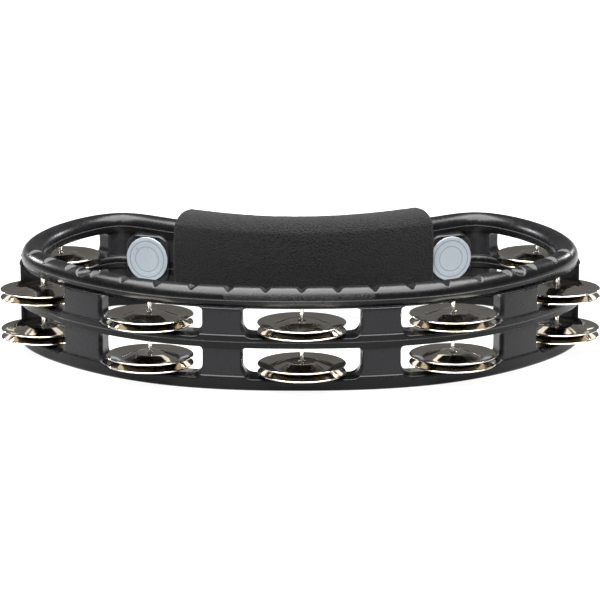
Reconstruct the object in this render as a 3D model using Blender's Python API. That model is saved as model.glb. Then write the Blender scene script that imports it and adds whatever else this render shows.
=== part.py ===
"""Double-row hand tambourine: moulded crescent frame, foam grip, jingle pins, jingles, label discs.

Units are metres. The frame rests on z = 0, the jingle arc faces -Y and the hand grip lies at +Y.
Distances along the frame are measured on its plan curve from the middle of the front, towards +X.
"""
import math

import bmesh
import bpy
import numpy as np
from mathutils import Vector

MM = 0.001

# ---------------------------------------------------------------- driving dimensions, millimetres
# Plan curve of the wall's centre line: knots of the right half, front middle to grip middle.
PLAN_KNOTS = [
    (0.0, -73.6), (66.0, -59.0), (115.1, -8.0), (121.6, 25.7),
    (110.1, 63.4), (86.4, 86.3), (59.8, 71.8), (0.0, 48.1),
]
HEIGHT = 44.5                 # base to the crown of the rim
RIM_RADIUS = 5.35             # round rim bead
WALL_OUT = 6.5                # centre line to the outer face of the rails
WALL_IN = 6.2                 # centre line to the inner face of the rails
POST_OUT = 6.0                # outer face of the posts
POST_IN = 4.0                 # inner face of the posts
FLOOR_Z = (6.1, 24.1)         # slot floors: lower row, upper row
CEILING_Z = (18.6, 35.8)      # slot ceilings: lower row, upper row
SLOT_HALF = 25.0              # half length of a slot, straight through the wall
SLOT_FLARE = 1.5              # extra half length at the outer face
SLOT_CORNER = 4.5             # corner radius of a slot
LEDGE_FROM = 3.1              # the slot floor and ends flare from here to the outer face
LEDGE_SLOPE = 0.33
STATIONS = [0.0, 68.4, 140.1, 213.5]      # pin stations on the plan curve
PIN_OUTSET = [0.6, -0.7, 0.6, 2.6]        # pin set outward of the centre line
SLOT_SKEW = [0.0, 2.6, 2.5, -4.0]         # drift of a slot towards the front middle, inner to outer face
PIN_RADIUS = 0.85
PIN_SPAN = (0.5, 40.0)
PIN_HOLE_RADIUS = 1.2
PIN_HOLE_TOP = 40.4

JINGLE_RADIUS = 19.05
JINGLE_SHEET = 0.5
JINGLE_HOLE = 1.45
JINGLE_FLAT = 6.9             # radius of the flat cup top
JINGLE_VALLEY = 12.8          # radius of the ring that touches the facing disc
CUP_RISE = 0.75               # cup above the rim plane
VALLEY_DROP = 1.4             # touching ring below the rim plane
GAP = 0.3                     # clearance between pieces that rest on one another

NOTCH_PITCH = 15.1            # scraper notches across the rim, pitch at the front middle
NOTCH_SPREAD = 0.16           # growth of the pitch towards the sides
NOTCH_HALF = 2.0
NOTCH_DEPTH = 2.0
NOTCH_COUNT = 19
GROOVE_AT = 103.6             # the two wide grooves, distance from the middle
GROOVE_RADIUS = 3.9
GROOVE_DEPTH = 2.9

HANDLE_CORE_BOTTOM = 13.0     # underside of the grip core above the base
HANDLE_CORE_HALF = 5.35
HANDLE_START = 82.0           # distance from the grip middle where the wall starts to taper
HANDLE_FULL = 63.5            # distance from the grip middle where the core section begins
TAPER_TOP = 34.0              # the wall tapers only below this height

FOAM_FROM = -56.2             # ends of the foam, from the grip middle
FOAM_TO = 61.2
FOAM_HALF = 11.6
FOAM_SPAN = (8.2, 50.1)
FOAM_CORNER = 10.6
FOAM_ROUND = 1.6
FOAM_STEPS = 12

LABEL_RADIUS = 10.6
LABEL_SHEET = 0.4
LABEL_AT = (72.1, 25.5)       # distance from the symmetry plane, height of the label centre
LABEL_TURN = 22.0             # degrees the boss face turns away from the symmetry plane
BOSS_FACE_Y = 69.5            # plan position of the middle of the boss face
BOSS_HALF = 11.6
BOSS_SPAN = (13.6, 37.2)

SWEEP_SAG = 0.12              # largest gap between the plan curve and a sweep chord
RIM_SIDES = 10                # facets of the visible part of the rim bead
JINGLE_SIDES = 16


# ---------------------------------------------------------------- plan curve
def closed_spline(knots, per_span=60):
    """Closed cubic spline through the knots, spaced by the square root of the chord."""
    pts = np.array(knots + [(-x, y) for x, y in knots[-2:0:-1]])
    count = len(pts)
    ahead = np.roll(pts, -1, axis=0)
    step = np.sqrt(np.hypot(*(ahead - pts).T))
    system = np.zeros((count, count))
    rhs = np.zeros((count, 2))
    for i in range(count):
        before = step[i - 1]
        after = step[i]
        system[i, i - 1] += before
        system[i, i] += 2 * (before + after)
        system[i, (i + 1) % count] += after
        rhs[i] = 6 * ((ahead[i] - pts[i]) / after - (pts[i] - pts[i - 1]) / before)
    bend = np.linalg.solve(system, rhs)
    t = np.linspace(0, 1, per_span, endpoint=False)[:, None]
    rows = []
    for i in range(count):
        j = (i + 1) % count
        a = 1 - t
        cubic = (a ** 3 - a) * bend[i] + (t ** 3 - t) * bend[j]
        rows.append(a * pts[i] + t * pts[j] + step[i] ** 2 / 6 * cubic)
    return np.vstack(rows)


class Track:
    """The plan curve by distance: point and outward normal at any station."""

    def __init__(self, pts):
        loop = np.vstack([pts, pts[:1]])
        gaps = np.hypot(*np.diff(loop, axis=0).T)
        self.dist = np.concatenate([[0], np.cumsum(gaps)])
        self.length = self.dist[-1]
        self.loop = loop
        slope = np.roll(pts, -1, axis=0) - np.roll(pts, 1, axis=0)
        slope = slope / np.hypot(*slope.T)[:, None]
        normal = np.stack([slope[:, 1], -slope[:, 0]], axis=1)
        self.normals = np.vstack([normal, normal[:1]])

    def at(self, station, outward=0.0):
        s = np.mod(station, self.length)
        x = np.interp(s, self.dist, self.loop[:, 0])
        y = np.interp(s, self.dist, self.loop[:, 1])
        nx = np.interp(s, self.dist, self.normals[:, 0])
        ny = np.interp(s, self.dist, self.normals[:, 1])
        size = np.hypot(nx, ny)
        return x + outward * nx / size, y + outward * ny / size

    def normal(self, station):
        x0, y0 = self.at(station)
        x1, y1 = self.at(station, 1.0)
        return float(x1 - x0), float(y1 - y0)

    def across(self, station, along, outward):
        """Point at an outward distance, reached straight across from a chord through the station."""
        x0, y0 = self.at(station)
        nx, ny = self.normal(station)
        s = station + along
        for _ in range(6):
            x, y = self.at(s, outward)
            s += along - ((y - y0) * nx - (x - x0) * ny)
        x, y = self.at(s, outward)
        return float(x), float(y)

    def from_grip(self, station):
        """Distance from the middle of the grip, positive towards +X."""
        return self.length / 2 - station


TRACK = Track(closed_spline(PLAN_KNOTS))
GRIP_MIDDLE = TRACK.length / 2


# ---------------------------------------------------------------- mesh helpers
def new_object(name, verts, faces, material=None):
    mesh = bpy.data.meshes.new(name)
    mesh.from_pydata([Vector(v) * MM for v in verts], [], faces)
    mesh.validate()
    obj = bpy.data.objects.new(name, mesh)
    bpy.context.scene.collection.objects.link(obj)
    if material:
        mesh.materials.append(material)
    return obj


def loft(rings, closed=False):
    """Faces and vertices of a skin through equal rings; open lofts get flat end caps."""
    verts = [p for ring in rings for p in ring]
    width = len(rings[0])
    spans = len(rings) if closed else len(rings) - 1
    faces = []
    for i in range(spans):
        a = i * width
        b = ((i + 1) % len(rings)) * width
        for k in range(width):
            m = (k + 1) % width
            faces.append((a + k, a + m, b + m, b + k))
    if not closed:
        last = (len(rings) - 1) * width
        faces.append(tuple(reversed(range(width))))
        faces.append(tuple(range(last, last + width)))
    return verts, faces


def join_shapes(shapes):
    """Several separate closed skins as one vertex and face list."""
    verts = []
    faces = []
    for part_verts, part_faces in shapes:
        base = len(verts)
        verts.extend(part_verts)
        faces.extend(tuple(base + i for i in face) for face in part_faces)
    return verts, faces


def orient_outward(obj):
    """Make the normals of every closed shell in the mesh point outward."""
    bm = bmesh.new()
    bm.from_mesh(obj.data)
    bmesh.ops.recalc_face_normals(bm, faces=bm.faces)
    bm.to_mesh(obj.data)
    bm.free()


def apply_boolean(target, cutter, operation):
    orient_outward(target)
    orient_outward(cutter)
    cutter.hide_render = True
    cutter.display_type = 'WIRE'
    mod = target.modifiers.new(operation.title(), 'BOOLEAN')
    mod.object = cutter
    mod.operation = operation
    mod.solver = 'EXACT'
    graph = bpy.context.evaluated_depsgraph_get()
    result = bpy.data.meshes.new_from_object(target.evaluated_get(graph))
    target.modifiers.remove(mod)
    old = target.data
    target.data = result
    bpy.data.meshes.remove(old)
    bpy.data.objects.remove(cutter)


def make_material(name, colour, roughness, metallic=0.0):
    mat = bpy.data.materials.new(name)
    mat.use_nodes = True
    shader = mat.node_tree.nodes['Principled BSDF']
    shader.inputs['Base Color'].default_value = (*colour, 1.0)
    shader.inputs['Roughness'].default_value = roughness
    shader.inputs['Metallic'].default_value = metallic
    mat.diffuse_color = (*colour, 1.0)
    return mat


# ---------------------------------------------------------------- frame
def wall_section():
    """Wall section as (outward, height): foot, rails, posts and the round rim."""
    rim_z = HEIGHT - RIM_RADIUS
    outer = [
        (WALL_OUT - 0.8, 0.0), (WALL_OUT, 0.8), (WALL_OUT, FLOOR_Z[0] - 0.6), (POST_OUT, FLOOR_Z[0] + 0.3),
        (POST_OUT, CEILING_Z[0] - 0.4), (WALL_OUT, CEILING_Z[0] + 0.2),
        (WALL_OUT, FLOOR_Z[1] - 0.9), (POST_OUT, FLOOR_Z[1] + 0.1), (POST_OUT, CEILING_Z[1] - 0.7),
        (POST_OUT - 0.8, CEILING_Z[1] + 0.2),
    ]
    start = math.radians(-25)
    sweep = math.radians(230)
    rim = []
    for k in range(RIM_SIDES + 1):
        a = start + sweep * k / RIM_SIDES
        rim.append((RIM_RADIUS * math.cos(a), rim_z + RIM_RADIUS * math.sin(a)))
    inner = [
        (-POST_IN, CEILING_Z[1] - 0.4), (-POST_IN, FLOOR_Z[1] + 0.5), (-WALL_IN + 0.6, FLOOR_Z[1]),
        (-WALL_IN, FLOOR_Z[1] - 1.0), (-WALL_IN, CEILING_Z[0] + 1.0), (-WALL_IN + 0.6, CEILING_Z[0]),
        (-POST_IN, CEILING_Z[0] - 0.5), (-POST_IN, FLOOR_Z[0] + 0.5), (-WALL_IN + 0.6, FLOOR_Z[0]),
        (-WALL_IN, FLOOR_Z[0] - 0.8), (-WALL_IN, 0.8), (-WALL_IN + 0.8, 0.0),
    ]
    return outer + rim + inner


def core_blend(station):
    """0 on the full wall, 1 where the wall has become the slim grip core."""
    d = abs(TRACK.from_grip(station))
    t = (HANDLE_START - d) / (HANDLE_START - HANDLE_FULL)
    t = min(max(t, 0.0), 1.0)
    return t * t * (3 - 2 * t)


def blended_section(station):
    blend = core_blend(station)
    points = []
    for out, z in wall_section():
        if z < TAPER_TOP + 2.0:
            side = 1.0 if out > 0 else -1.0
            slim = side * min(abs(out) + (1.35 if abs(out) < 5 else 0.0), HANDLE_CORE_HALF)
            if z < 0.5:
                slim = side * (HANDLE_CORE_HALF - 1.6)
            out = out * (1 - blend) + slim * blend
        if z < TAPER_TOP:
            foot = HANDLE_CORE_BOTTOM * blend
            z = foot + z * (TAPER_TOP - foot) / TAPER_TOP
        points.append((out, z))
    return points


def sweep_stations():
    """Stations for the sweep, closer together where the plan curve is tight."""
    stations = []
    station = 0.0
    while station < TRACK.length / 2 - 1.5:
        stations.append(station)
        nx0, ny0 = TRACK.normal(station)
        nx1, ny1 = TRACK.normal(station + 4.0)
        turn = max(abs(nx0 * ny1 - ny0 * nx1) / 4.0, 1e-4)
        station += min(math.sqrt(8 * SWEEP_SAG / turn), 9.0)
    return stations + [TRACK.length / 2] + [TRACK.length - s for s in stations[:0:-1]]


def frame_body():
    rings = []
    for station in sweep_stations():
        ring = []
        for out, z in blended_section(station):
            x, y = TRACK.at(station, out)
            ring.append((float(x), float(y), z))
        rings.append(ring)
    return loft(rings, closed=True)


def slot_outline(low, high, half, corner_steps=3):
    """Rounded slot outline as (along, height)."""
    r = SLOT_CORNER
    points = []
    corners = [(half - r, low + r, -90), (half - r, high - r, 0),
               (-half + r, high - r, 90), (-half + r, low + r, 180)]
    for i, (cx, cz, start) in enumerate(corners):
        for k in range(corner_steps + 1):
            a = math.radians(start + 90.0 * k / corner_steps)
            points.append((cx + r * math.cos(a), cz + r * math.sin(a)))
        straight = {0: None, 1: high, 2: None, 3: low}[i]
        if straight is not None:
            side = -1 if i == 1 else 1
            for k in range(1, 5):
                points.append((side * (half - r) * (-1 + 2 * k / 5.0), straight))
    return points


def slot_cutter(station, skew, row):
    low = FLOOR_Z[row]
    high = CEILING_Z[row]
    rings = []
    for out, half in ((-9.0, SLOT_HALF), (LEDGE_FROM, SLOT_HALF), (WALL_OUT, SLOT_HALF + SLOT_FLARE),
                      (18.0, SLOT_HALF + SLOT_FLARE)):
        drop = max(0.0, out - LEDGE_FROM) * LEDGE_SLOPE
        shift = skew * (out + POST_IN) / (WALL_OUT + POST_IN)
        ring = []
        for along, z in slot_outline(low, high, half):
            weight = max(0.0, 1.0 - (z - low) / SLOT_CORNER)
            x, y = TRACK.across(station, along + shift, out)
            ring.append((x, y, z - drop * weight))
        rings.append(ring)
    return loft(rings)


def radial_prism(station, profile, span):
    """Prism of an (along, height) profile that runs radially through the wall."""
    nx, ny = TRACK.normal(station)
    rings = []
    for out in span:
        x0, y0 = (float(v) for v in TRACK.at(station, out))
        rings.append([(x0 - ny * along, y0 + nx * along, z) for along, z in profile])
    return loft(rings)


def notch_stations():
    each_way = (NOTCH_COUNT - 1) // 2
    steps = range(-each_way, each_way + 1)
    return [NOTCH_PITCH * k + NOTCH_SPREAD * k * abs(k) for k in steps]


def rim_cutters():
    shapes = []
    floor = HEIGHT - NOTCH_DEPTH
    widen = NOTCH_HALF / NOTCH_DEPTH
    notch = [(-0.35, floor), (0.35, floor), (0.35 + widen * 4, floor + 4), (-0.35 - widen * 4, floor + 4)]
    for station in notch_stations():
        shapes.append(radial_prism(station, notch, (-9.0, 9.0)))
    base = HEIGHT - GROOVE_DEPTH
    groove = []
    for k in range(9):
        a = math.pi + math.pi * k / 8
        groove.append((GROOVE_RADIUS * math.cos(a), base + GROOVE_RADIUS + GROOVE_RADIUS * math.sin(a)))
    groove += [(GROOVE_RADIUS, HEIGHT + 3), (-GROOVE_RADIUS, HEIGHT + 3)]
    for side in (-1, 1):
        shapes.append(radial_prism(side * GROOVE_AT, groove, (-9.0, 9.0)))
    return shapes


def column_list():
    """Jingle columns from left to right: name, station, pin outset, slot skew along the curve."""
    names = ['rear_left', 'side_left', 'front_left', 'front_centre', 'front_right', 'side_right', 'rear_right']
    columns = []
    for name, k in zip(names, range(-3, 4)):
        station = math.copysign(STATIONS[abs(k)], k)
        towards_front = -1 if k > 0 else 1
        columns.append((name, station, PIN_OUTSET[abs(k)], SLOT_SKEW[abs(k)] * towards_front))
    return columns


def cylinder(x, y, z0, z1, radius, sides):
    rings = []
    for z in (z0, z1):
        ring = []
        for k in range(sides):
            a = 2 * math.pi * k / sides
            ring.append((x + radius * math.cos(a), y + radius * math.sin(a), z))
        rings.append(ring)
    return loft(rings)


def boss_axes(side):
    """Middle of a label boss face, its outward direction and its level direction."""
    turn = math.radians(LABEL_TURN) * side
    face = Vector((math.sin(turn), -math.cos(turn), 0.0))
    level = Vector((math.cos(turn), math.sin(turn), 0.0))
    return Vector((side * LABEL_AT[0], BOSS_FACE_Y, 0.0)), face, level


def boss_block(side):
    middle, face, level = boss_axes(side)
    r = 4.0
    outline = []
    low, high = BOSS_SPAN
    corners = [(BOSS_HALF - r, low + r, -90), (BOSS_HALF - r, high - r, 0),
               (-BOSS_HALF + r, high - r, 90), (-BOSS_HALF + r, low + r, 180)]
    for cx, cz, start in corners:
        for k in range(4):
            a = math.radians(start + 30.0 * k)
            outline.append((cx + r * math.cos(a), cz + r * math.sin(a)))
    rings = []
    for depth, shrink in ((0.0, 0.95), (1.0, 1.0), (8.0, 1.06)):
        ring = []
        for along, z in outline:
            p = middle - face * depth + level * (along * shrink)
            mid_z = (low + high) / 2
            ring.append((p.x, p.y, mid_z + (z - mid_z) * shrink))
        rings.append(ring)
    return loft(rings)


def build_frame(material):
    frame = new_object('frame', *frame_body(), material)
    bosses = new_object('boss_shapes', *join_shapes([boss_block(-1), boss_block(1)]))
    apply_boolean(frame, bosses, 'UNION')
    shapes = []
    for name, station, outset, skew in column_list():
        for row in (0, 1):
            shapes.append(slot_cutter(station, skew, row))
    slots = new_object('slot_cutters', *join_shapes(shapes))
    apply_boolean(frame, slots, 'DIFFERENCE')
    rim = new_object('rim_cutters', *join_shapes(rim_cutters()))
    apply_boolean(frame, rim, 'DIFFERENCE')
    holes = []
    for name, station, outset, skew in column_list():
        x, y = (float(v) for v in TRACK.at(station, outset))
        holes.append(cylinder(x, y, -2.0, PIN_HOLE_TOP, PIN_HOLE_RADIUS, 8))
    drills = new_object('pin_drills', *join_shapes(holes))
    apply_boolean(frame, drills, 'DIFFERENCE')
    frame.data.materials.clear()
    frame.data.materials.append(material)
    return frame


# ---------------------------------------------------------------- foam grip
def rounded_bar(half, low, high, low_corner, high_corner, steps=3):
    """Upright rounded bar outline as (outward, height)."""
    points = []
    corners = [(half - low_corner, low + low_corner, low_corner, -90),
               (half - high_corner, high - high_corner, high_corner, 0),
               (-half + high_corner, high - high_corner, high_corner, 90),
               (-half + low_corner, low + low_corner, low_corner, 180)]
    for cx, cz, corner, start in corners:
        for k in range(steps + 1):
            a = math.radians(start + 90.0 * k / steps)
            points.append((cx + corner * math.cos(a), cz + corner * math.sin(a)))
    return points


def foam_ring(distance, outline):
    ring = []
    for out, z in outline:
        x, y = TRACK.at(GRIP_MIDDLE - distance, out)
        ring.append((float(x), float(y), z))
    return ring


def build_foam(material):
    """Sleeve: outer skin, rounded ends and a bore that clears the grip core."""
    low, high = FOAM_SPAN
    bore_half = HANDLE_CORE_HALF + 0.45
    skin = rounded_bar(FOAM_HALF, low, high, FOAM_CORNER, FOAM_CORNER)
    lip = rounded_bar(FOAM_HALF - FOAM_ROUND, low + FOAM_ROUND, high - FOAM_ROUND,
                      FOAM_CORNER - FOAM_ROUND, FOAM_CORNER - FOAM_ROUND)
    bore = rounded_bar(bore_half, HANDLE_CORE_BOTTOM - 0.4, HEIGHT + 0.5, 0.5, bore_half - 0.05)
    places = [FOAM_FROM + (FOAM_TO - FOAM_FROM) * k / FOAM_STEPS for k in range(FOAM_STEPS + 1)]
    first = FOAM_FROM - FOAM_ROUND
    last = FOAM_TO + FOAM_ROUND
    rings = [foam_ring(first, lip)]
    rings += [foam_ring(d, skin) for d in places]
    rings += [foam_ring(last, lip), foam_ring(last, bore)]
    rings += [foam_ring(d, bore) for d in reversed(places)]
    rings += [foam_ring(first, bore)]
    foam = new_object('foam_grip', *loft(rings, closed=True), material)
    orient_outward(foam)
    return foam


# ---------------------------------------------------------------- jingles, pins, labels
def jingle_profile(up):
    """Closed sheet profile as (radius, height) about the rim plane; up = +1 cup up, -1 cup down."""
    t = JINGLE_SHEET / 2
    line = [(JINGLE_HOLE, CUP_RISE), (JINGLE_FLAT, CUP_RISE), (JINGLE_VALLEY, -VALLEY_DROP), (JINGLE_RADIUS, 0.0)]
    above = [(r, up * z + t) for r, z in line]
    below = [(r, up * z - t) for r, z in reversed(line)]
    return above + below


def build_jingle(name, x, y, rim_z, up, material):
    flat_z = rim_z + up * CUP_RISE
    rings = []
    for k in range(JINGLE_SIDES):
        a = 2 * math.pi * k / JINGLE_SIDES
        rings.append([(r * math.cos(a), r * math.sin(a), rim_z + z - flat_z) for r, z in jingle_profile(up)])
    disc = new_object(name, *loft(rings, closed=True), material)
    disc.location = Vector((x, y, flat_z)) * MM
    orient_outward(disc)
    return disc


def build_pin(name, x, y, material):
    low, high = PIN_SPAN
    rings = []
    for z, r in ((low, PIN_RADIUS), (high - 0.5, PIN_RADIUS), (high, PIN_RADIUS - 0.4)):
        rings.append([(r * math.cos(2 * math.pi * k / 10), r * math.sin(2 * math.pi * k / 10), z - low)
                      for k in range(10)])
    pin = new_object(name, *loft(rings), material)
    pin.location = Vector((x, y, low)) * MM
    orient_outward(pin)
    return pin


def build_label(name, side, material):
    middle, face, level = boss_axes(side)
    rings = []
    for depth, r in ((GAP, LABEL_RADIUS), (GAP + LABEL_SHEET, LABEL_RADIUS)):
        ring = []
        for k in range(32):
            a = 2 * math.pi * k / 32
            p = face * depth + level * (r * math.cos(a))
            ring.append((p.x, p.y, r * math.sin(a)))
        rings.append(ring)
    label = new_object(name, *loft(rings), material)
    label.location = (middle + Vector((0, 0, LABEL_AT[1]))) * MM
    orient_outward(label)
    return label


# ---------------------------------------------------------------- assembly
def main():
    for obj in list(bpy.data.objects):
        bpy.data.objects.remove(obj, do_unlink=True)

    plastic = make_material('abs_black', (0.012, 0.012, 0.013), 0.35)
    foam = make_material('foam_black', (0.022, 0.022, 0.023), 0.95)
    nickel = make_material('nickel_plate', (0.66, 0.61, 0.53), 0.12, 1.0)
    steel = make_material('pin_steel', (0.70, 0.68, 0.64), 0.2, 1.0)
    film = make_material('label_film', (0.70, 0.74, 0.78), 0.25)

    build_frame(plastic)
    build_foam(foam)
    for name, station, outset, skew in column_list():
        x, y = (float(v) for v in TRACK.at(station, outset))
        build_pin('pin_' + name, x, y, steel)
        for row, row_name in enumerate(('lower', 'upper')):
            low_rim = FLOOR_Z[row] + GAP + JINGLE_SHEET / 2 + CUP_RISE
            high_rim = low_rim + 2 * VALLEY_DROP + JINGLE_SHEET + GAP
            build_jingle('jingle_%s_%s_bottom' % (name, row_name), x, y, low_rim, -1, nickel)
            build_jingle('jingle_%s_%s_top' % (name, row_name), x, y, high_rim, 1, nickel)
    build_label('label_left', -1, film)
    build_label('label_right', 1, film)


main()
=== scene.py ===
"""Looks of the crescent tambourine: fine moulded frame, foam, jingles, pins, labels, light, camera.

Shapes are worked out in millimetres in the frame's own coordinates: distance along the wall's
plan curve from the front middle, distance outward from that curve, and height above the base.
"""

import math

import bpy
import numpy as np
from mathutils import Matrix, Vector, noise


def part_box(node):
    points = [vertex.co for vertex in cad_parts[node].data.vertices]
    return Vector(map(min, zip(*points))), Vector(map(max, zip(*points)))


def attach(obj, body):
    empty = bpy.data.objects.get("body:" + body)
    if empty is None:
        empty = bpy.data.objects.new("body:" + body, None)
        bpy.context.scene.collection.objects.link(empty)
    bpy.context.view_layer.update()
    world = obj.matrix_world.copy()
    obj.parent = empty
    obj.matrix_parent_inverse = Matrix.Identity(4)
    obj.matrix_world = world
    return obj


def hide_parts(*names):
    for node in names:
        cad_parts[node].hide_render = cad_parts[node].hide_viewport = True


MM = 0.001
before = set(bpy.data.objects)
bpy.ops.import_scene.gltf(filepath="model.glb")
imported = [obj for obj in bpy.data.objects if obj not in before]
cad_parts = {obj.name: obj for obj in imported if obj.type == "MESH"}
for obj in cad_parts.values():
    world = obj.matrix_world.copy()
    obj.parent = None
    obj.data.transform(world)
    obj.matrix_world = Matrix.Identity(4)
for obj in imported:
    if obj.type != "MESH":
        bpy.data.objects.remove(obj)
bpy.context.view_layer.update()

# ---------------------------------------------------------------- dimensions, millimetres
PLAN_KNOTS = [
    (0.0, -73.6), (66.0, -59.0), (115.1, -8.0), (121.6, 25.7),
    (110.1, 63.4), (86.4, 86.3), (59.8, 71.8), (0.0, 48.1),
]
HEIGHT = 44.5
RIM_RADIUS = 5.35
RIM_Z = HEIGHT - RIM_RADIUS
WALL_OUT = 6.5
WALL_IN = 6.2
PANEL_RECESS = 0.5
POST_IN = 4.0
LEDGE_Z = 36.1
FLOOR_Z = (6.1, 24.1)
CEILING_Z = (18.6, 35.8)
SLOT_HALF = 25.0
SLOT_FLARE = 1.5
SLOT_CORNER = 4.8
SLOT_TOP_CORNER = 2.2
LEDGE_FROM = 3.1
LEDGE_SLOPE = 0.33
STATIONS = [-213.5, -140.1, -68.4, 0.0, 68.4, 140.1, 213.5]
COLUMNS = ['rear_left', 'side_left', 'front_left', 'front_centre', 'front_right', 'side_right', 'rear_right']
PIN_OUTSET = [2.6, 0.6, -0.7, 0.6, -0.7, 0.6, 2.6]
SLOT_SKEW = [-4.0, 2.5, 2.6, 0.0, -2.6, -2.5, 4.0]
PIN_HOLE_RADIUS = 1.2
PIN_HOLE_TOP = 40.4
NOTCH_PITCH = 15.1
NOTCH_SPREAD = 0.16
NOTCH_EACH_WAY = 9
NOTCH_FLAT = 0.35
NOTCH_FLARE = 1.0
NOTCH_DEPTH = 2.0
GROOVE_AT = 103.6
GROOVE_RADIUS = 3.9
GROOVE_DEPTH = 2.9
CORE_BOTTOM = 13.0
CORE_HALF = 5.35
TAPER_FROM = 82.0
TAPER_TO = 63.5
TAPER_TOP = 34.0
FOAM_FROM = -56.2
FOAM_TO = 61.2
FOAM_HALF = 11.6
FOAM_LOW = 8.2
FOAM_HIGH = 50.1
FOAM_CORNER = 10.6
FOAM_ROUND = 1.6
BOSS_X = 72.1
BOSS_Y = 69.5
BOSS_TURN = 22.0
BOSS_HALF = 11.6
BOSS_LOW = 13.6
BOSS_HIGH = 37.2
LABEL_Z = 25.5
LABEL_RADIUS = 10.6
LABEL_SHEET = 0.4
LABEL_GAP = 0.3
JINGLE_RADIUS = 19.05
JINGLE_HOLE = 1.45
JINGLE_SHEET = 0.5
DIMPLES = 12
DIMPLE_RADIUS = 9.6
DIMPLE_DEPTH = 0.05
CAMERA_AT = (-0.01075, -1.2423, 0.3113)
CAMERA_AIM = (-0.00076, -0.0745, 0.03886)
CAMERA_LENS = 169.08
CAMERA_SENSOR = 36.0


# ---------------------------------------------------------------- plan curve
def closed_spline(knots, per_span=300):
    """Closed cubic spline through the knots, spaced by the square root of the chord."""
    pts = np.array(knots + [(-x, y) for x, y in knots[-2:0:-1]])
    count = len(pts)
    ahead = np.roll(pts, -1, axis=0)
    step = np.sqrt(np.hypot(*(ahead - pts).T))
    system = np.zeros((count, count))
    rhs = np.zeros((count, 2))
    for i in range(count):
        before = step[i - 1]
        after = step[i]
        system[i, i - 1] += before
        system[i, i] += 2 * (before + after)
        system[i, (i + 1) % count] += after
        rhs[i] = 6 * ((ahead[i] - pts[i]) / after - (pts[i] - pts[i - 1]) / before)
    bend = np.linalg.solve(system, rhs)
    t = np.linspace(0, 1, per_span, endpoint=False)[:, None]
    rows = []
    for i in range(count):
        j = (i + 1) % count
        a = 1 - t
        cubic = (a ** 3 - a) * bend[i] + (t ** 3 - t) * bend[j]
        rows.append(a * pts[i] + t * pts[j] + step[i] ** 2 / 6 * cubic)
    return np.vstack(rows)


class Track:
    """The plan curve by distance: points, outward normals and curvature."""

    def __init__(self, pts):
        loop = np.vstack([pts, pts[:1]])
        gaps = np.hypot(*np.diff(loop, axis=0).T)
        self.dist = np.concatenate([[0], np.cumsum(gaps)])
        self.length = self.dist[-1]
        self.loop = loop
        slope = np.roll(pts, -1, axis=0) - np.roll(pts, 1, axis=0)
        slope = slope / np.hypot(*slope.T)[:, None]
        normal = np.stack([slope[:, 1], -slope[:, 0]], axis=1)
        self.normals = np.vstack([normal, normal[:1]])
        turn = np.unwrap(np.arctan2(self.normals[:, 1], self.normals[:, 0]))
        self.bend = np.gradient(turn, self.dist)

    def frame_at(self, station):
        """Point x, y, outward normal x, y and curvature at each station."""
        s = np.mod(station, self.length)
        x = np.interp(s, self.dist, self.loop[:, 0])
        y = np.interp(s, self.dist, self.loop[:, 1])
        nx = np.interp(s, self.dist, self.normals[:, 0])
        ny = np.interp(s, self.dist, self.normals[:, 1])
        size = np.hypot(nx, ny)
        return x, y, nx / size, ny / size, np.interp(s, self.dist, self.bend)

    def wrap(self, distance):
        """A distance along the curve, taken the short way round."""
        half = self.length / 2
        return np.mod(distance + half, self.length) - half


TRACK = Track(closed_spline(PLAN_KNOTS))
GRIP_MIDDLE = TRACK.length / 2


def notch_stations():
    steps = range(-NOTCH_EACH_WAY, NOTCH_EACH_WAY + 1)
    return np.array([NOTCH_PITCH * k + NOTCH_SPREAD * k * abs(k) for k in steps])


# ---------------------------------------------------------------- field helpers
def soft_min(a, b, k):
    h = np.maximum(k - np.abs(a - b), 0) / k
    return np.minimum(a, b) - h * h * k * 0.25


def soft_max(a, b, k):
    return -soft_min(-a, -b, k)


def ramp(x, low, high):
    t = np.clip((x - low) / (high - low), 0, 1)
    return t * t * (3 - 2 * t)


def nearest(u, stations):
    """Signed distance along the curve to the nearest of the stations, and which one it is."""
    gaps = np.stack([TRACK.wrap(u - s) for s in stations])
    which = np.abs(gaps).argmin(axis=0)
    return np.take_along_axis(gaps, which[None], axis=0)[0], which


def slot_field(along, n, z, low, high, skew):
    """Negative inside one slot: a rounded opening that drifts sideways and flares at the outer face."""
    along = along - skew * (n + POST_IN) / (WALL_OUT + POST_IN)
    past = np.clip(n - LEDGE_FROM, 0, WALL_OUT - LEDGE_FROM)
    z = z + LEDGE_SLOPE * past * np.clip(1 - (z - low) / SLOT_CORNER, 0, 1)
    flare = past / (WALL_OUT - LEDGE_FROM)
    half = SLOT_HALF + SLOT_FLARE * flare ** 1.3
    r = np.where(z > (low + high) / 2, SLOT_TOP_CORNER, SLOT_CORNER)
    qx = np.abs(along) - (half - r)
    qz = np.abs(z - (low + high) / 2) - ((high - low) / 2 - r)
    outside = np.hypot(np.maximum(qx, 0), np.maximum(qz, 0))
    return np.minimum(np.maximum(qx, qz), 0) + outside - r


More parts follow.
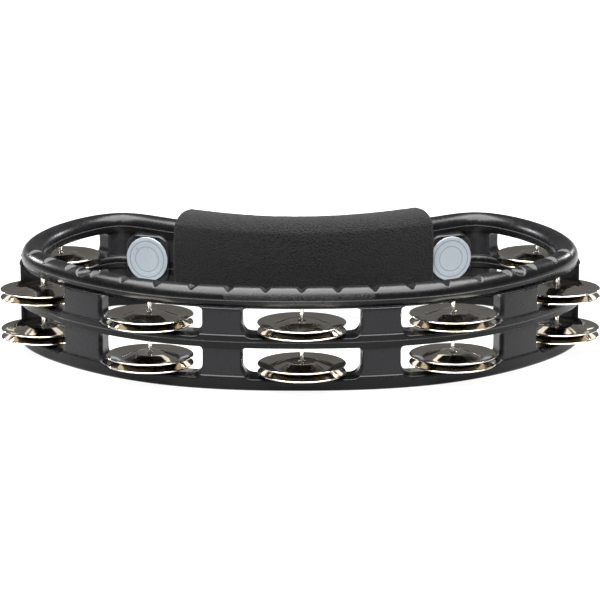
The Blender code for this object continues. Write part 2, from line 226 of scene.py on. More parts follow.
def frame_field(n, z, chord, lean, outset, skew, notch, groove, grip, bend):
    """Negative inside the moulding. All arguments are equal arrays or broadcast together."""
    along = chord + n * lean
    slim = ramp(TAPER_FROM - grip, 0, TAPER_FROM - TAPER_TO)
    foot = CORE_BOTTOM * slim
    zc = np.where(z < TAPER_TOP, (z - foot) * TAPER_TOP / (TAPER_TOP - foot), z)
    upper = ramp(zc, 23.8, 24.5) * (1 - ramp(zc, 35.0, 35.6))
    lower = ramp(zc, 5.9, 6.6) * (1 - ramp(zc, 18.2, 18.8))
    out = WALL_OUT - PANEL_RECESS * (upper + lower)
    rail = np.sqrt(np.clip(1 - ((zc - 21.35) / 3.3) ** 2, 0, 1))
    base = 1 - ramp(zc, 4.9, 6.0)
    into = POST_IN + (WALL_IN - POST_IN) * np.maximum(rail, base)
    out = out + (CORE_HALF - out) * slim
    into = into + (CORE_HALF - into) * slim
    wall = soft_max(n - out, -n - into, 0.6)
    wall = soft_max(wall, zc - LEDGE_Z, 1.0)
    wall = soft_max(wall, -zc, 1.6)
    bead = np.hypot(n, z - RIM_Z) - RIM_RADIUS
    blend = 0.45 + 2.2 * ramp(-n, 0, 4)
    body = soft_min(wall, bead, blend)
    for low, high in zip(FLOOR_Z, CEILING_Z):
        body = soft_max(body, -slot_field(along, n, z, low, high, skew), 0.55)
    cut = (np.abs(notch) - NOTCH_FLAT - (z - HEIGHT + NOTCH_DEPTH) * NOTCH_FLARE) / math.hypot(1, NOTCH_FLARE)
    body = soft_max(body, -soft_max(cut, HEIGHT - NOTCH_DEPTH - z, 0.3), 0.3)
    drop = np.minimum(z - (HEIGHT - GROOVE_DEPTH + GROOVE_RADIUS), 0)
    body = soft_max(body, -(np.hypot(groove, drop) - GROOVE_RADIUS), 0.4)
    pin = np.hypot(along, n - outset) - PIN_HOLE_RADIUS
    return soft_max(body, -np.maximum(pin, z - PIN_HOLE_TOP), 0.25)


def station_facts(u):
    """What the field needs to know about each station."""
    _, which = nearest(u, STATIONS)
    x, y, nx, ny, bend = TRACK.frame_at(u)
    x0, y0, nx0, ny0, _ = TRACK.frame_at(np.array(STATIONS)[which])
    chord = (y - y0) * nx0 - (x - x0) * ny0
    lean = ny * nx0 - nx * ny0
    outset = np.array(PIN_OUTSET)[which]
    skew = np.array(SLOT_SKEW)[which]
    notch, _ = nearest(u, notch_stations())
    groove, _ = nearest(u, [-GROOVE_AT, GROOVE_AT])
    grip = np.abs(TRACK.wrap(u - GRIP_MIDDLE))
    return chord, lean, outset, skew, notch, groove, grip, bend


# ---------------------------------------------------------------- skin of the field
def graded_stations(fine, coarse):
    """Stations round the curve, closer together at slot ends, pins, notches and grooves."""
    u = np.arange(0, TRACK.length, 0.1)
    along, _, _, _, notch, groove, _, _ = station_facts(u)
    near_end = np.maximum(np.abs(np.abs(along) - 25.0) - 5.2, 0)
    near_pin = np.maximum(np.abs(along) - 2.0, 0)
    near_notch = np.maximum(np.abs(notch) - 3.4, 0)
    near_groove = np.maximum(np.abs(groove) - 4.6, 0)
    near = np.minimum(np.minimum(near_end, near_pin), np.minimum(near_notch, near_groove))
    step = fine + (coarse - fine) * np.clip(near / 3.0, 0, 1)
    total = np.concatenate([[0], np.cumsum(0.1 / step)])
    count = int(total[-1]) + 1
    return np.interp(np.arange(count) * total[-1] / count, total, np.arange(len(total)) * 0.1)


def graded(spans):
    """Levels from (start, end, step) spans."""
    levels = [np.linspace(a, b, max(int(round((b - a) / s)), 1), endpoint=False) for a, b, s in spans]
    return np.concatenate(levels + [[spans[-1][1]]])


def field_at(p):
    return frame_field(p[:, 1], p[:, 2], *station_facts(p[:, 0]))


def field_slope(p):
    """Field value and its slope along the wall, outward and upward, per millimetre of surface."""
    eps = 0.02
    facts = station_facts(p[:, 0])
    value = frame_field(p[:, 1], p[:, 2], *facts)
    slope = np.zeros_like(p)
    for axis in range(3):
        shift = np.zeros(3)
        shift[axis] = eps
        hi = p + shift
        lo = p - shift
        if axis == 0:
            rise = field_at(hi) - field_at(lo)
        else:
            rise = frame_field(hi[:, 1], hi[:, 2], *facts) - frame_field(lo[:, 1], lo[:, 2], *facts)
        slope[:, axis] = rise / (2 * eps)
    stretch = 1 + facts[-1] * p[:, 1]
    slope[:, 0] /= stretch
    return value, slope, stretch


def skin(levels_u, levels_n, levels_z):
    """Quads round the zero surface on a graded grid that closes on itself along the curve."""
    nu, nn, nz = len(levels_u), len(levels_n), len(levels_z)
    facts = [f[:, None, None] for f in station_facts(levels_u)]
    value = frame_field(levels_n[None, :, None], levels_z[None, None, :], *facts)
    inside = value < 0
    ahead = np.roll(inside, -1, axis=0)
    total = np.zeros((nu, nn - 1, nz - 1), np.int8)
    for block in (inside, ahead):
        for dj in (0, 1):
            for dk in (0, 1):
                total += block[:, dj:nn - 1 + dj, dk:nz - 1 + dk]
    mixed = (total > 0) & (total < 8)
    ci, cj, ck = np.nonzero(mixed)
    number = np.full(mixed.shape, -1, np.int64)
    number[ci, cj, ck] = np.arange(len(ci))
    wide_u = np.concatenate([levels_u, [TRACK.length]])
    corner = {}
    for a in (0, 1):
        for b in (0, 1):
            for c in (0, 1):
                corner[a, b, c] = value[(ci + a) % nu, cj + b, ck + c]
    spot = np.zeros((len(ci), 3))
    hits = np.zeros(len(ci))
    for axis in range(3):
        others = [k for k in range(3) if k != axis]
        for first in (0, 1):
            for second in (0, 1):
                low = [0, 0, 0]
                low[others[0]] = first
                low[others[1]] = second
                high = list(low)
                high[axis] = 1
                fa = corner[tuple(low)]
                fb = corner[tuple(high)]
                cross = (fa < 0) != (fb < 0)
                t = np.where(cross, fa / np.where(cross, fa - fb, 1), 0)
                for k in range(3):
                    part = t if k == axis else np.full(len(ci), float(low[k]))
                    spot[:, k] += np.where(cross, part, 0)
                hits += cross
    spot /= hits[:, None]
    p = np.stack([
        wide_u[ci] + spot[:, 0] * (wide_u[ci + 1] - wide_u[ci]),
        levels_n[cj] + spot[:, 1] * (levels_n[cj + 1] - levels_n[cj]),
        levels_z[ck] + spot[:, 2] * (levels_z[ck + 1] - levels_z[ck]),
    ], axis=1)
    size = np.stack([wide_u[ci + 1] - wide_u[ci], levels_n[cj + 1] - levels_n[cj],
                     levels_z[ck + 1] - levels_z[ck]], axis=1)

    quads = []

    def add(flip, a, b, c, d):
        quads.append(np.where(flip[:, None], np.stack([d, c, b, a], 1), np.stack([a, b, c, d], 1)))

    i, j, k = np.nonzero((inside != ahead)[:, 1:-1, 1:-1])
    j = j + 1
    k = k + 1
    add(inside[i, j, k], number[i, j - 1, k - 1], number[i, j, k - 1], number[i, j, k], number[i, j - 1, k])
    i, j, k = np.nonzero((inside[:, :-1] != inside[:, 1:])[:, :, 1:-1])
    k = k + 1
    h = (i - 1) % nu
    add(inside[i, j, k], number[h, j, k - 1], number[h, j, k], number[i, j, k], number[i, j, k - 1])
    i, j, k = np.nonzero((inside[:, :, :-1] != inside[:, :, 1:])[:, 1:-1])
    j = j + 1
    h = (i - 1) % nu
    add(inside[i, j, k], number[h, j - 1, k], number[i, j - 1, k], number[i, j, k], number[h, j, k])
    return p, size, np.vstack(quads)


def settle(p, size, quads, rounds):
    """Even the net out along the surface and bring every point onto the zero surface."""
    a = quads.ravel()
    b = np.roll(quads, -1, axis=1).ravel()
    start = np.concatenate([a, b])
    end = np.concatenate([b, a])
    degree = np.maximum(np.bincount(start, minlength=len(p)), 1)
    for turn in range(rounds):
        if turn < rounds - 2:
            pull = np.zeros_like(p)
            for axis in range(3):
                gap = p[end, axis] - p[start, axis]
                if axis == 0:
                    gap = TRACK.wrap(gap)
                pull[:, axis] = np.bincount(start, gap, minlength=len(p)) / degree
            _, slope, _ = field_slope(p)
            n = slope / np.maximum(np.linalg.norm(slope, axis=1), 1e-9)[:, None]
            pull -= n * (pull * n).sum(axis=1)[:, None]
            p = p + 0.45 * pull
        value, slope, stretch = field_slope(p)
        step = -value[:, None] * slope / np.maximum((slope ** 2).sum(axis=1), 0.05)[:, None]
        step = np.clip(step, -0.5 * size, 0.5 * size)
        step[:, 0] /= stretch
        p = p + step
    value, slope, _ = field_slope(p)
    normal = slope / np.maximum(np.linalg.norm(slope, axis=1), 1e-9)[:, None]
    return p, normal


def to_world(p, normal):
    x, y, nx, ny, _ = TRACK.frame_at(p[:, 0])
    spot = np.stack([x + p[:, 1] * nx, y + p[:, 1] * ny, p[:, 2]], axis=1)
    tx, ty = -ny, nx
    turned = np.stack([normal[:, 0] * tx + normal[:, 1] * nx, normal[:, 0] * ty + normal[:, 1] * ny,
                       normal[:, 2]], axis=1)
    return spot, turned


# ---------------------------------------------------------------- mesh helpers
def mesh_object(name, verts, faces, material, normals=None):
    """Object from a vertex array in millimetres and face lists, shaded smooth."""
    mesh = bpy.data.meshes.new(name)
    mesh.from_pydata((np.asarray(verts) * MM).tolist(), [], [tuple(int(i) for i in f) for f in faces])
    mesh.validate()
    mesh.shade_smooth()
    mesh.materials.append(material)
    if normals is not None:
        mesh.normals_split_custom_set_from_vertices(np.asarray(normals).tolist())
    obj = bpy.data.objects.new(name, mesh)
    bpy.context.scene.collection.objects.link(obj)
    return obj


def loft_faces(rings, width, closed, flip=False):
    """Quads between consecutive rings of equal width."""
    faces = []
    spans = rings if closed else rings - 1
    for i in range(spans):
        a = i * width
        b = ((i + 1) % rings) * width
        for k in range(width):
            m = (k + 1) % width
            quad = (a + k, a + m, b + m, b + k)
            faces.append(quad[::-1] if flip else quad)
    return faces


def face_normals(verts, faces):
    """Area-weighted vertex normals of a quad and triangle list."""
    verts = np.asarray(verts, float)
    out = np.zeros_like(verts)
    for face in faces:
        c = verts[list(face)]
        n = np.zeros(3)
        for i in range(1, len(c) - 1):
            n += np.cross(c[i] - c[0], c[i + 1] - c[0])
        for i in face:
            out[i] += n
    return out / np.maximum(np.linalg.norm(out, axis=1), 1e-12)[:, None]


# ---------------------------------------------------------------- material helpers
class Paint:
    """A node material built step by step."""

    def __init__(self, name):
        self.mat = bpy.data.materials.new(name)
        self.mat.use_nodes = True
        self.tree = self.mat.node_tree
        self.shader = self.tree.nodes['Principled BSDF']
        self.place = self.node('ShaderNodeTexCoord').outputs['Object']

    def node(self, kind, **settings):
        made = self.tree.nodes.new(kind)
        for key, value in settings.items():
            setattr(made, key, value)
        return made

    def link(self, source, target):
        self.tree.links.new(source, target)

    def set(self, **values):
        for key, value in values.items():
            self.shader.inputs[key.replace('_', ' ')].default_value = value

    def noise(self, scale, detail=4.0, rough=0.55, place=None):
        made = self.node('ShaderNodeTexNoise')
        made.inputs['Scale'].default_value = scale
        made.inputs['Detail'].default_value = detail
        made.inputs['Roughness'].default_value = rough
        self.link(place or self.place, made.inputs['Vector'])
        return made.outputs['Fac']

    def cells(self, scale, feature='F1', place=None):
        made = self.node('ShaderNodeTexVoronoi', feature=feature)
        made.inputs['Scale'].default_value = scale
        self.link(place or self.place, made.inputs['Vector'])
        return made.outputs['Distance']

    def math(self, operation, a, b=None):
        made = self.node('ShaderNodeMath', operation=operation)
        for slot, value in enumerate((a, b)):
            if value is None:
                continue
            if isinstance(value, (int, float)):
                made.inputs[slot].default_value = value
            else:
                self.link(value, made.inputs[slot])
        return made.outputs[0]

    def spread(self, value, low, high, to_low=0.0, to_high=1.0):
        made = self.node('ShaderNodeMapRange')
        self.link(value, made.inputs['Value'])
        made.inputs['From Min'].default_value = low
        made.inputs['From Max'].default_value = high
        made.inputs['To Min'].default_value = to_low
        made.inputs['To Max'].default_value = to_high
        return made.outputs['Result']

    def mix(self, factor, a, b):
        made = self.node('ShaderNodeMix', data_type='RGBA')
        self.link(factor, made.inputs['Factor'])
        for slot, value in (('A', a), ('B', b)):
            socket = [s for s in made.inputs if s.name == slot and s.type == 'RGBA'][0]
            if isinstance(value, tuple):
                socket.default_value = (*value, 1.0)
            else:
                self.link(value, socket)
        return [s for s in made.outputs if s.type == 'RGBA'][0]

    def axes(self):
        made = self.node('ShaderNodeSeparateXYZ')
        self.link(self.place, made.inputs[0])
        return made.outputs

    def band(self, value, middle, half, soft):
        """1 within half of the middle, falling to 0 over the soft width."""
        away = self.math('ABSOLUTE', self.math('SUBTRACT', value, middle))
        return self.spread(away, half, half + soft, 1.0, 0.0)

    def bump(self, height, strength, distance, under=None):
        made = self.node('ShaderNodeBump')
        made.inputs['Strength'].default_value = strength
        made.inputs['Distance'].default_value = distance
        self.link(height, made.inputs['Height'])
        if under is not None:
            self.link(under, made.inputs['Normal'])
        return made.outputs['Normal']

    def colour(self, source):
        self.link(source, self.shader.inputs['Base Color'])

    def rough(self, source):
        self.link(source, self.shader.inputs['Roughness'])

    def normal(self, source):
        self.link(source, self.shader.inputs['Normal'])


def moulded_black():
    """Satin black ABS: fine grain, rubbed high spots, a mould line whose bumped ridge is also painted lighter
    as a painted highlight, a stippled grip patch.
    """
    p = Paint('moulded_black')
    x, y, z = p.axes()[0], p.axes()[1], p.axes()[2]
    grain = p.noise(2600.0, 3.0)
    cloud = p.noise(45.0, 4.0)
    scuff = p.noise(240.0, 6.0, 0.7)
    # mould lines at the bead's and mid rail's widest points: a real ridge (bumped below) plus a lighter
    # colour that is a painted highlight
    line = p.math('MAXIMUM', p.band(z, 0.03915, 0.00012, 0.00012), p.band(z, 0.02135, 0.00010, 0.00012))
    front = p.math('MULTIPLY', p.band(x, -0.001, 0.032, 0.0006), p.band(z, 0.0390, 0.0034, 0.0003))
    front = p.math('MULTIPLY', front, p.spread(y, -0.070, -0.071, 0.0, 1.0))
    dots = p.spread(p.cells(3400.0), 0.15, 0.50, 1.0, 0.0)
    stipple = p.math('MULTIPLY', dots, front)
    base = p.mix(p.spread(cloud, 0.35, 0.7), (0.0012, 0.0012, 0.0014), (0.0026, 0.0026, 0.0029))
    panel = p.math('MAXIMUM', p.band(z, 0.0300, 0.0050, 0.0005), p.band(z, 0.0124, 0.0056, 0.0005))
    base = p.mix(panel, base, (0.0095, 0.0095, 0.0105))
    base = p.mix(p.math('MULTIPLY', p.spread(scuff, 0.62, 0.8), 0.35), base, (0.014, 0.014, 0.015))
    # painted highlight: the mould lines are painted lighter, standing in for light caught along the ridge
    base = p.mix(p.math('MULTIPLY', line, 0.5), base, (0.09, 0.09, 0.095))
    base = p.mix(p.math('MULTIPLY', stipple, 0.6), base, (0.036, 0.036, 0.038))
    p.colour(base)
    fine = p.math('MULTIPLY', p.spread(grain, 0.3, 0.7), 0.05)
    p.rough(p.math('ADD', p.spread(scuff, 0.3, 0.75, 0.21, 0.33), fine))
    first = p.bump(grain, 0.12, 0.0001)
    second = p.bump(stipple, 0.45, 0.00016, first)
    p.normal(p.bump(line, 0.35, 0.0002, second))
    p.set(Specular_IOR_Level=0.16)
    return p.mat


def foam_material():
    """Charcoal closed-cell foam: fine pitted pores, their pits painted darker as painted shade so the skins
    between them read paler.
    """
    p = Paint('charcoal_foam')
    pores = p.cells(1050.0)
    fine = p.cells(2300.0)
    cloud = p.noise(90.0, 5.0)
    # painted shade: the pore pits, sunk by the bump below, are painted darker than the skins between them
    tone = p.mix(p.spread(pores, 0.15, 0.6), (0.0012, 0.0012, 0.0013), (0.0052, 0.0052, 0.0055))
    tone = p.mix(p.math('MULTIPLY', p.spread(cloud, 0.4, 0.75), 0.4), tone, (0.0052, 0.0052, 0.0056))
    p.colour(tone)
    p.set(Roughness=0.92, Specular_IOR_Level=0.12, Sheen_Weight=0.02, Sheen_Roughness=0.5)
    deep = p.bump(p.spread(pores, 0.0, 0.55), 0.75, 0.0007)
    p.normal(p.bump(p.spread(fine, 0.0, 0.5), 0.4, 0.0003, deep))
    return p.mat


def nickel_material():
    """Bright nickel plate: polish swirls, small dings and faint warm tarnish."""
    p = Paint('bright_nickel')
    haze = p.noise(160.0, 5.0, 0.6)
    patch = p.noise(55.0, 3.0)
    scratches = p.noise(3200.0, 2.0)
    tone = p.mix(p.spread(patch, 0.35, 0.7), (0.74, 0.70, 0.64), (0.64, 0.59, 0.50))
    p.colour(tone)
    p.set(Metallic=1.0)
    p.rough(p.math('ADD', p.spread(haze, 0.3, 0.75, 0.05, 0.12), p.math('MULTIPLY', scratches, 0.02)))
    wave = p.bump(p.noise(90.0, 2.0), 0.24, 0.0009)
    p.normal(p.bump(scratches, 0.05, 0.00005, wave))
    return p.mat


def pin_material():
    """Drawn steel wire: fine rings."""
    p = Paint('drawn_steel')
    z = p.axes()[2]
    rings = p.node('ShaderNodeTexNoise', noise_dimensions='1D')
    p.link(p.math('MULTIPLY', z, 6000.0), rings.inputs['W'])
    tone = p.mix(rings.outputs['Fac'], (0.74, 0.72, 0.68), (0.62, 0.60, 0.56))
    p.colour(tone)
    p.set(Metallic=1.0)
    p.rough(p.spread(rings.outputs['Fac'], 0.3, 0.7, 0.14, 0.26))
    p.normal(p.bump(rings.outputs['Fac'], 0.15, 0.00005))
    return p.mat


def label_material(middle):
    """Silvery film with a plain printed ring and a faint brushed sheen."""
    p = Paint('silver_film')
    shift = p.node('ShaderNodeVectorMath', operation='SUBTRACT')
    p.link(p.place, shift.inputs[0])
    shift.inputs[1].default_value = middle
    size = p.node('ShaderNodeVectorMath', operation='LENGTH')
    p.link(shift.outputs[0], size.inputs[0])
    away = size.outputs['Value']
    ring = p.band(away, 0.0088, 0.00022, 0.00010)
    inner = p.band(away, 0.0060, 0.00014, 0.00010)
    fine = p.noise(900.0, 4.0)
    tone = p.mix(p.spread(p.noise(60.0), 0.3, 0.7), (0.225, 0.255, 0.285), (0.265, 0.292, 0.315))
    tone = p.mix(p.math('MULTIPLY', p.math('MAXIMUM', ring, inner), 0.75), tone, (0.09, 0.11, 0.14))
    p.colour(tone)
    p.set(Metallic=0.3)
    p.rough(p.spread(fine, 0.3, 0.7, 0.26, 0.40))
    p.normal(p.bump(fine, 0.08, 0.0001))
    return p.mat


def floor_material():
    p = Paint('pale_floor')
    p.colour(p.mix(p.noise(3.0), (0.12, 0.12, 0.12), (0.13, 0.13, 0.13)))
    p.set(Roughness=0.9, Specular_IOR_Level=0.0, Emission_Color=(1.0, 1.0, 1.0, 1.0), Emission_Strength=0.93)
    return p.mat


# ---------------------------------------------------------------- pieces
def build_frame(material):
    levels_u = graded_stations(0.62, 1.6)
    levels_n = graded([(-7.4, -3.4, 0.42), (-3.4, 3.4, 0.75), (3.4, 7.4, 0.4)])
    levels_z = graded([(-0.6, 1.6, 0.45), (1.6, 4.6, 1.0), (4.6, 7.2, 0.45),
                       (7.2, 12.6, 1.1), (12.6, 14.0, 0.7),
                       (14.0, 17.6, 1.0), (17.6, 19.4, 0.42), (19.4, 23.2, 0.75), (23.2, 25.2, 0.42),
                       (25.2, 34.4, 1.1), (34.4, 37.0, 0.4), (37.0, 41.6, 0.65), (41.6, 45.2, 0.45)])
    p, size, quads = skin(levels_u, levels_n, levels_z)
    p, normal = settle(p, size, quads, 7)
    verts, normals = to_world(p, normal)
    faces = quads.tolist()
    for side in (-1, 1):
        slab, slab_faces, slab_normals = boss_shell(side)
        faces += [[len(verts) + i for i in face] for face in slab_faces]
        verts = np.vstack([verts, slab])
        normals = np.vstack([normals, slab_normals])
    obj = mesh_object('moulded_frame', verts, faces, material, normals)
    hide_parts('frame')
    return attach(obj, 'frame')


def boss_axes(side):
    turn = math.radians(BOSS_TURN) * side
    face = np.array([math.sin(turn), -math.cos(turn), 0.0])
    level = np.array([math.cos(turn), math.sin(turn), 0.0])
    return np.array([side * BOSS_X, BOSS_Y, 0.0]), face, level


def boss_shell(side):
    """Label boss: a pad with rounded corners and edges, flaring into the wall behind it."""
    middle, face, level = boss_axes(side)
    mid_z = (BOSS_LOW + BOSS_HIGH) / 2
    outline = []
    r = 7.0
    for k in range(64):
        a = 2 * math.pi * (k + 0.5) / 64
        cx = math.copysign(BOSS_HALF - r, math.cos(a))
        cz = math.copysign((BOSS_HIGH - BOSS_LOW) / 2 - r, math.sin(a))
        outline.append((cx + r * math.cos(a), cz + r * math.sin(a)))
    outline = np.array(outline)
    rings = []
    profile = [(0.0, 0.02), (0.0, 0.35), (0.0, 0.7), (0.0, 0.88), (0.04, 0.905), (0.16, 0.93), (0.4, 0.952),
               (0.8, 0.972), (1.4, 0.988), (2.4, 1.0), (4.0, 1.01), (6.0, 1.03), (8.0, 1.05)]
    for depth, scale in profile:
        rings.append([middle - face * depth + level * (a * scale) + np.array([0, 0, mid_z + z * scale])
                      for a, z in outline])
    verts = np.array([v for ring in rings for v in ring])
    faces = loft_faces(len(rings), 64, False)
    last = (len(rings) - 1) * 64
    faces.append(tuple(range(63, -1, -1)))
    faces.append(tuple(range(last, last + 64)))
    centre = verts.mean(axis=0)
    if sum(np.dot(np.cross(verts[f[1]] - verts[f[0]], verts[f[2]] - verts[f[0]]), verts[f[0]] - centre)
           for f in faces[:64 * 12]) < 0:
        faces = [f[::-1] for f in faces]
    return verts, faces, face_normals(verts, faces)


def build_foam(material):
    """Foam sleeve: rounded bar round the grip core with soft ends, dents and pores."""
    around, along = 132, 230
    half_z = (FOAM_HIGH - FOAM_LOW) / 2
    mid_z = (FOAM_HIGH + FOAM_LOW) / 2

    def section(distance, inset, hollow):
        a = np.linspace(0, 2 * np.pi, around, endpoint=False)
        half = (CORE_HALF + 0.45) if hollow else FOAM_HALF - inset
        tall = (HEIGHT + 0.4 - CORE_BOTTOM) / 2 if hollow else half_z - inset
        level = (HEIGHT + CORE_BOTTOM) / 2 if hollow else mid_z
        r = (CORE_HALF - 0.2) if hollow else FOAM_CORNER - inset
        reach = tall - r
        out = (half - r) * np.sign(np.cos(a)) + r * np.cos(a)
        straight = reach * np.clip(np.sin(a) * 2.2, -1, 1)
        z = level + straight + r * np.sin(a)
        x, y, nx, ny, _ = TRACK.frame_at(np.full(around, GRIP_MIDDLE - distance))
        ring = np.stack([x + out * nx, y + out * ny, z], axis=1)
        return ring, np.stack([nx * np.cos(a), ny * np.cos(a), np.sin(a)], axis=1)

    rings, pushes = [], []
    ease = [(FOAM_ROUND, FOAM_ROUND), (1.52, 1.15), (1.3, 0.72), (1.0, 0.4), (0.6, 0.16), (0.25, 0.03)]
    for back, inset in ease:
        ring, push = section(FOAM_FROM - back, inset, False)
        rings.append(ring)
        pushes.append(push)
    for d in np.linspace(FOAM_FROM, FOAM_TO, along):
        ring, push = section(d, 0.0, False)
        rings.append(ring)
        pushes.append(push)
    for back, inset in reversed(ease):
        ring, push = section(FOAM_TO + back, inset, False)
        rings.append(ring)
        pushes.append(push)
    outer = len(rings)
    for t in (0.33, 0.66, 1.0):
        lip, _ = section(FOAM_TO + FOAM_ROUND, FOAM_ROUND, False)
        bore, _ = section(FOAM_TO + FOAM_ROUND, 0.0, True)
        rings.append(lip * (1 - t) + bore * t)
    for d in np.linspace(FOAM_TO - 1.0, FOAM_FROM + 1.0, 24):
        rings.append(section(d, 0.0, True)[0])
    for t in (1.0, 0.66, 0.33):
        lip, _ = section(FOAM_FROM - FOAM_ROUND, FOAM_ROUND, False)
        bore, _ = section(FOAM_FROM - FOAM_ROUND, 0.0, True)
        rings.append(lip * (1 - t) + bore * t)
    verts = np.vstack(rings)
    push = np.vstack(pushes)
    for i in range(outer * around):
        v = Vector(verts[i])
        dent = noise.noise(v * 0.05) * 0.22 + noise.noise(v * 0.22) * 0.10 + noise.noise(v * 0.9) * 0.07
        verts[i] += push[i] * (dent - 0.12)
    faces = loft_faces(len(rings), around, True)
    obj = mesh_object('foam_sleeve', verts, faces, material)
    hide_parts('foam_grip')
    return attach(obj, 'frame')


def disc_line(r):
    """Height of the middle of the jingle's sheet at radius r, cup up, about its flat."""
    knots_r = [0.0, 6.7, 12.5, 13.1, 18.2, 19.05]
    knots_z = [0.0, 0.0, -2.12, -2.12, -0.86, -0.75]
    fine = np.linspace(0, 20, 801)
    z = np.interp(fine, knots_r, knots_z)
    kernel = np.ones(17) / 17
    z = np.convolve(np.pad(z, 28, mode='edge'), kernel, mode='same')[28:-28]
    return np.interp(r, fine, z)


def build_jingle(name, material, up, turn, seed):
    low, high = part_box(name)
    middle = (low + high) / 2 / MM
    flat = (high.z if up > 0 else low.z) / MM - up * JINGLE_SHEET / 2
    sides = 96
    t = JINGLE_SHEET / 2
    top = np.array([1.62, 2.4, 4.0, 5.6, 6.6, 7.4, 8.4, 9.4, 10.4, 11.4,
                    12.2, 12.9, 13.8, 15.2, 16.8, 18.2, 18.85])
    angle = np.linspace(0, 2 * np.pi, sides, endpoint=False) + turn
    rings = []

    def ring(r, lift, marked=True):
        z = disc_line(np.full(sides, r)) + lift
        if marked:
            bell = np.exp(-((r - DIMPLE_RADIUS) / 0.9) ** 2)
            beat = np.maximum(np.cos(angle * DIMPLES + seed), 0) ** 6
            z = z - DIMPLE_DEPTH * bell * beat * (0.3 + 0.7 * np.maximum(np.cos(angle + 2 * seed), 0))
        sway = 0.05 * np.sin(2 * angle + seed) * (r / JINGLE_RADIUS) ** 2
        return np.stack([r * np.cos(angle), r * np.sin(angle), up * (z + sway)], axis=1)

    rings.append(ring(JINGLE_HOLE, 0.12, False))
    for r in top:
        rings.append(ring(r, t))
    rings.append(ring(18.99, 0.15, False))
    rings.append(ring(JINGLE_RADIUS, 0.0, False))
    rings.append(ring(18.99, -0.15, False))
    for r in top[::-1]:
        rings.append(ring(r, -t))
    rings.append(ring(JINGLE_HOLE, -0.12, False))
    verts = np.vstack(rings) + np.array([middle.x, middle.y, flat])
    faces = loft_faces(len(rings), sides, True, flip=up > 0)
    obj = mesh_object(name.replace('jingle_', 'disc_'), verts, faces, material)
    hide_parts(name)
    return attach(obj, name)


def build_pin(column, material):
    name = 'pin_' + column
    low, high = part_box(name)
    middle = (low + high) / 2 / MM
    radius = (high.x - low.x) / 2 / MM
    bottom, top = low.z / MM, high.z / MM
    sides = 28
    heights = [(bottom, radius * 0.72), (bottom + 0.25, radius * 0.97), (bottom + 0.5, radius)]
    heights += [(z, radius) for z in np.linspace(bottom + 1.5, top - 1.0, 44)]
    heights += [(top - 0.5, radius), (top - 0.2, radius * 0.85), (top, radius * 0.45)]
    rings = []
    for z, r in heights:
        a = np.linspace(0, 2 * np.pi, sides, endpoint=False)
        level = np.full(sides, z)
        rings.append(np.stack([middle.x + r * np.cos(a), middle.y + r * np.sin(a), level], axis=1))
    faces = loft_faces(len(rings), sides, False)
    last = (len(rings) - 1) * sides
    faces.append(tuple(range(sides - 1, -1, -1)))
    faces.append(tuple(range(last, last + sides)))
    obj = mesh_object('jingle_' + name, np.vstack(rings), faces, material)
    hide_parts(name)
    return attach(obj, 'frame')


def build_label(side, word):
    middle, face, level = boss_axes(side)
    middle = middle + np.array([0, 0, LABEL_Z])
    sides = 72
    profile = [(0.0, LABEL_GAP), (LABEL_RADIUS, LABEL_GAP), (LABEL_RADIUS, LABEL_GAP + 0.28),
               (LABEL_RADIUS - 0.08, LABEL_GAP + 0.38), (LABEL_RADIUS - 0.3, LABEL_GAP + LABEL_SHEET)]
    profile += [(r, LABEL_GAP + LABEL_SHEET) for r in (9.2, 8.0, 6.0, 4.0, 2.0)]
    rings = []
    for r, depth in profile:
        ring = []
        for k in range(sides):
            a = 2 * math.pi * k / sides
            rise = max(r, 0.02)
            upward = np.array([0, 0, rise * math.sin(a)])
            ring.append(middle + face * depth + level * (rise * math.cos(a)) + upward)
        rings.append(ring)
    verts = np.array([v for ring in rings for v in ring])
    faces = loft_faces(len(rings), sides, False)
    last = (len(rings) - 1) * sides
    faces.append(tuple(range(sides - 1, -1, -1)))
    faces.append(tuple(range(last, last + sides)))
    first, second, third = (verts[i] for i in faces[-1][:3])
    if np.dot(np.cross(second - first, third - first), face) < 0:
        faces = [f[::-1] for f in faces]
    obj = mesh_object('round_' + word, verts, faces, label_material(Vector(middle) * MM))
    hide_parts(word)
    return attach(obj, 'frame')


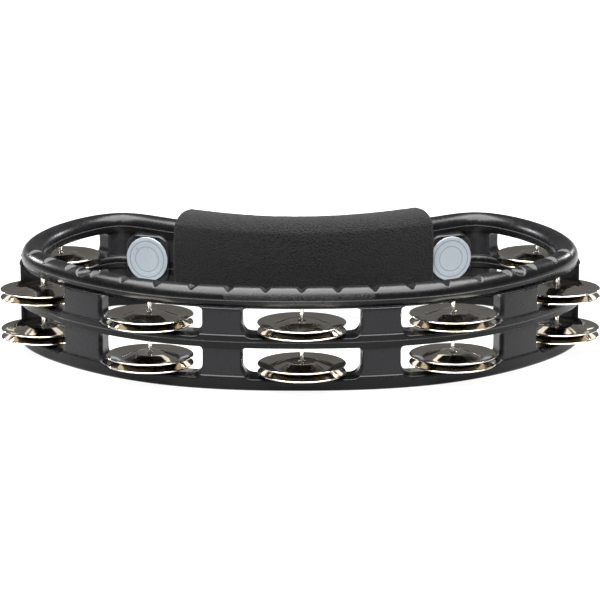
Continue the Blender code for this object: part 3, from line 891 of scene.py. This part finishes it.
# ---------------------------------------------------------------- studio
def build_studio():
    bpy.ops.mesh.primitive_plane_add(size=12.0, location=(0, 0, -0.0003))
    floor = bpy.context.object
    floor.name = 'pale_floor'
    floor.data.materials.append(floor_material())

    world = bpy.data.worlds.new('studio')
    bpy.context.scene.world = world
    world.use_nodes = True
    world.node_tree.nodes['Background'].inputs['Color'].default_value = (1.0, 1.0, 1.0, 1.0)
    world.node_tree.nodes['Background'].inputs['Strength'].default_value = 0.15

    def softbox(name, place, aim, size_x, size_y, power, tint=(1.0, 1.0, 1.0)):
        light = bpy.data.lights.new(name, 'AREA')
        light.shape = 'RECTANGLE'
        light.size = size_x
        light.size_y = size_y
        light.energy = power
        light.color = tint
        obj = bpy.data.objects.new(name, light)
        obj.location = place
        obj.rotation_euler = (Vector(aim) - Vector(place)).to_track_quat('-Z', 'Y').to_euler()
        bpy.context.scene.collection.objects.link(obj)

    softbox('top_box', (0.0, -0.12, 1.05), (0, -0.12, 0), 1.9, 1.3, 165.0)
    softbox('left_glint', (-1.1, 1.0, 0.55), (0, 0, 0.02), 0.22, 0.16, 8.0)
    softbox('right_glint', (0.9, 1.2, 0.50), (0, 0, 0.02), 0.16, 0.16, 4.0)
    softbox('near_glint', (-0.35, -0.9, 1.0), (0, 0, 0.02), 0.18, 0.18, 6.0)

    camera = bpy.data.cameras.new('camera')
    camera.lens = CAMERA_LENS
    camera.sensor_width = CAMERA_SENSOR
    camera.clip_start = 0.05
    holder = bpy.data.objects.new('camera', camera)
    place = Vector(CAMERA_AT)
    target = Vector(CAMERA_AIM)
    holder.location = place
    holder.rotation_euler = (target - place).to_track_quat('-Z', 'Y').to_euler()
    bpy.context.scene.collection.objects.link(holder)
    bpy.context.scene.camera = holder
    bpy.context.scene.view_settings.view_transform = 'Standard'


def main():
    build_studio()
    build_frame(moulded_black())
    build_foam(foam_material())
    nickel = nickel_material()
    steel = pin_material()
    count = 0
    for column in COLUMNS:
        build_pin(column, steel)
        for row in ('lower', 'upper'):
            for which, up in (('bottom', -1), ('top', 1)):
                count += 1
                build_jingle('jingle_%s_%s_%s' % (column, row, which), nickel, up, 0.37 * count, 1.7 * count)
    build_label(-1, 'label_left')
    build_label(1, 'label_right')


main()
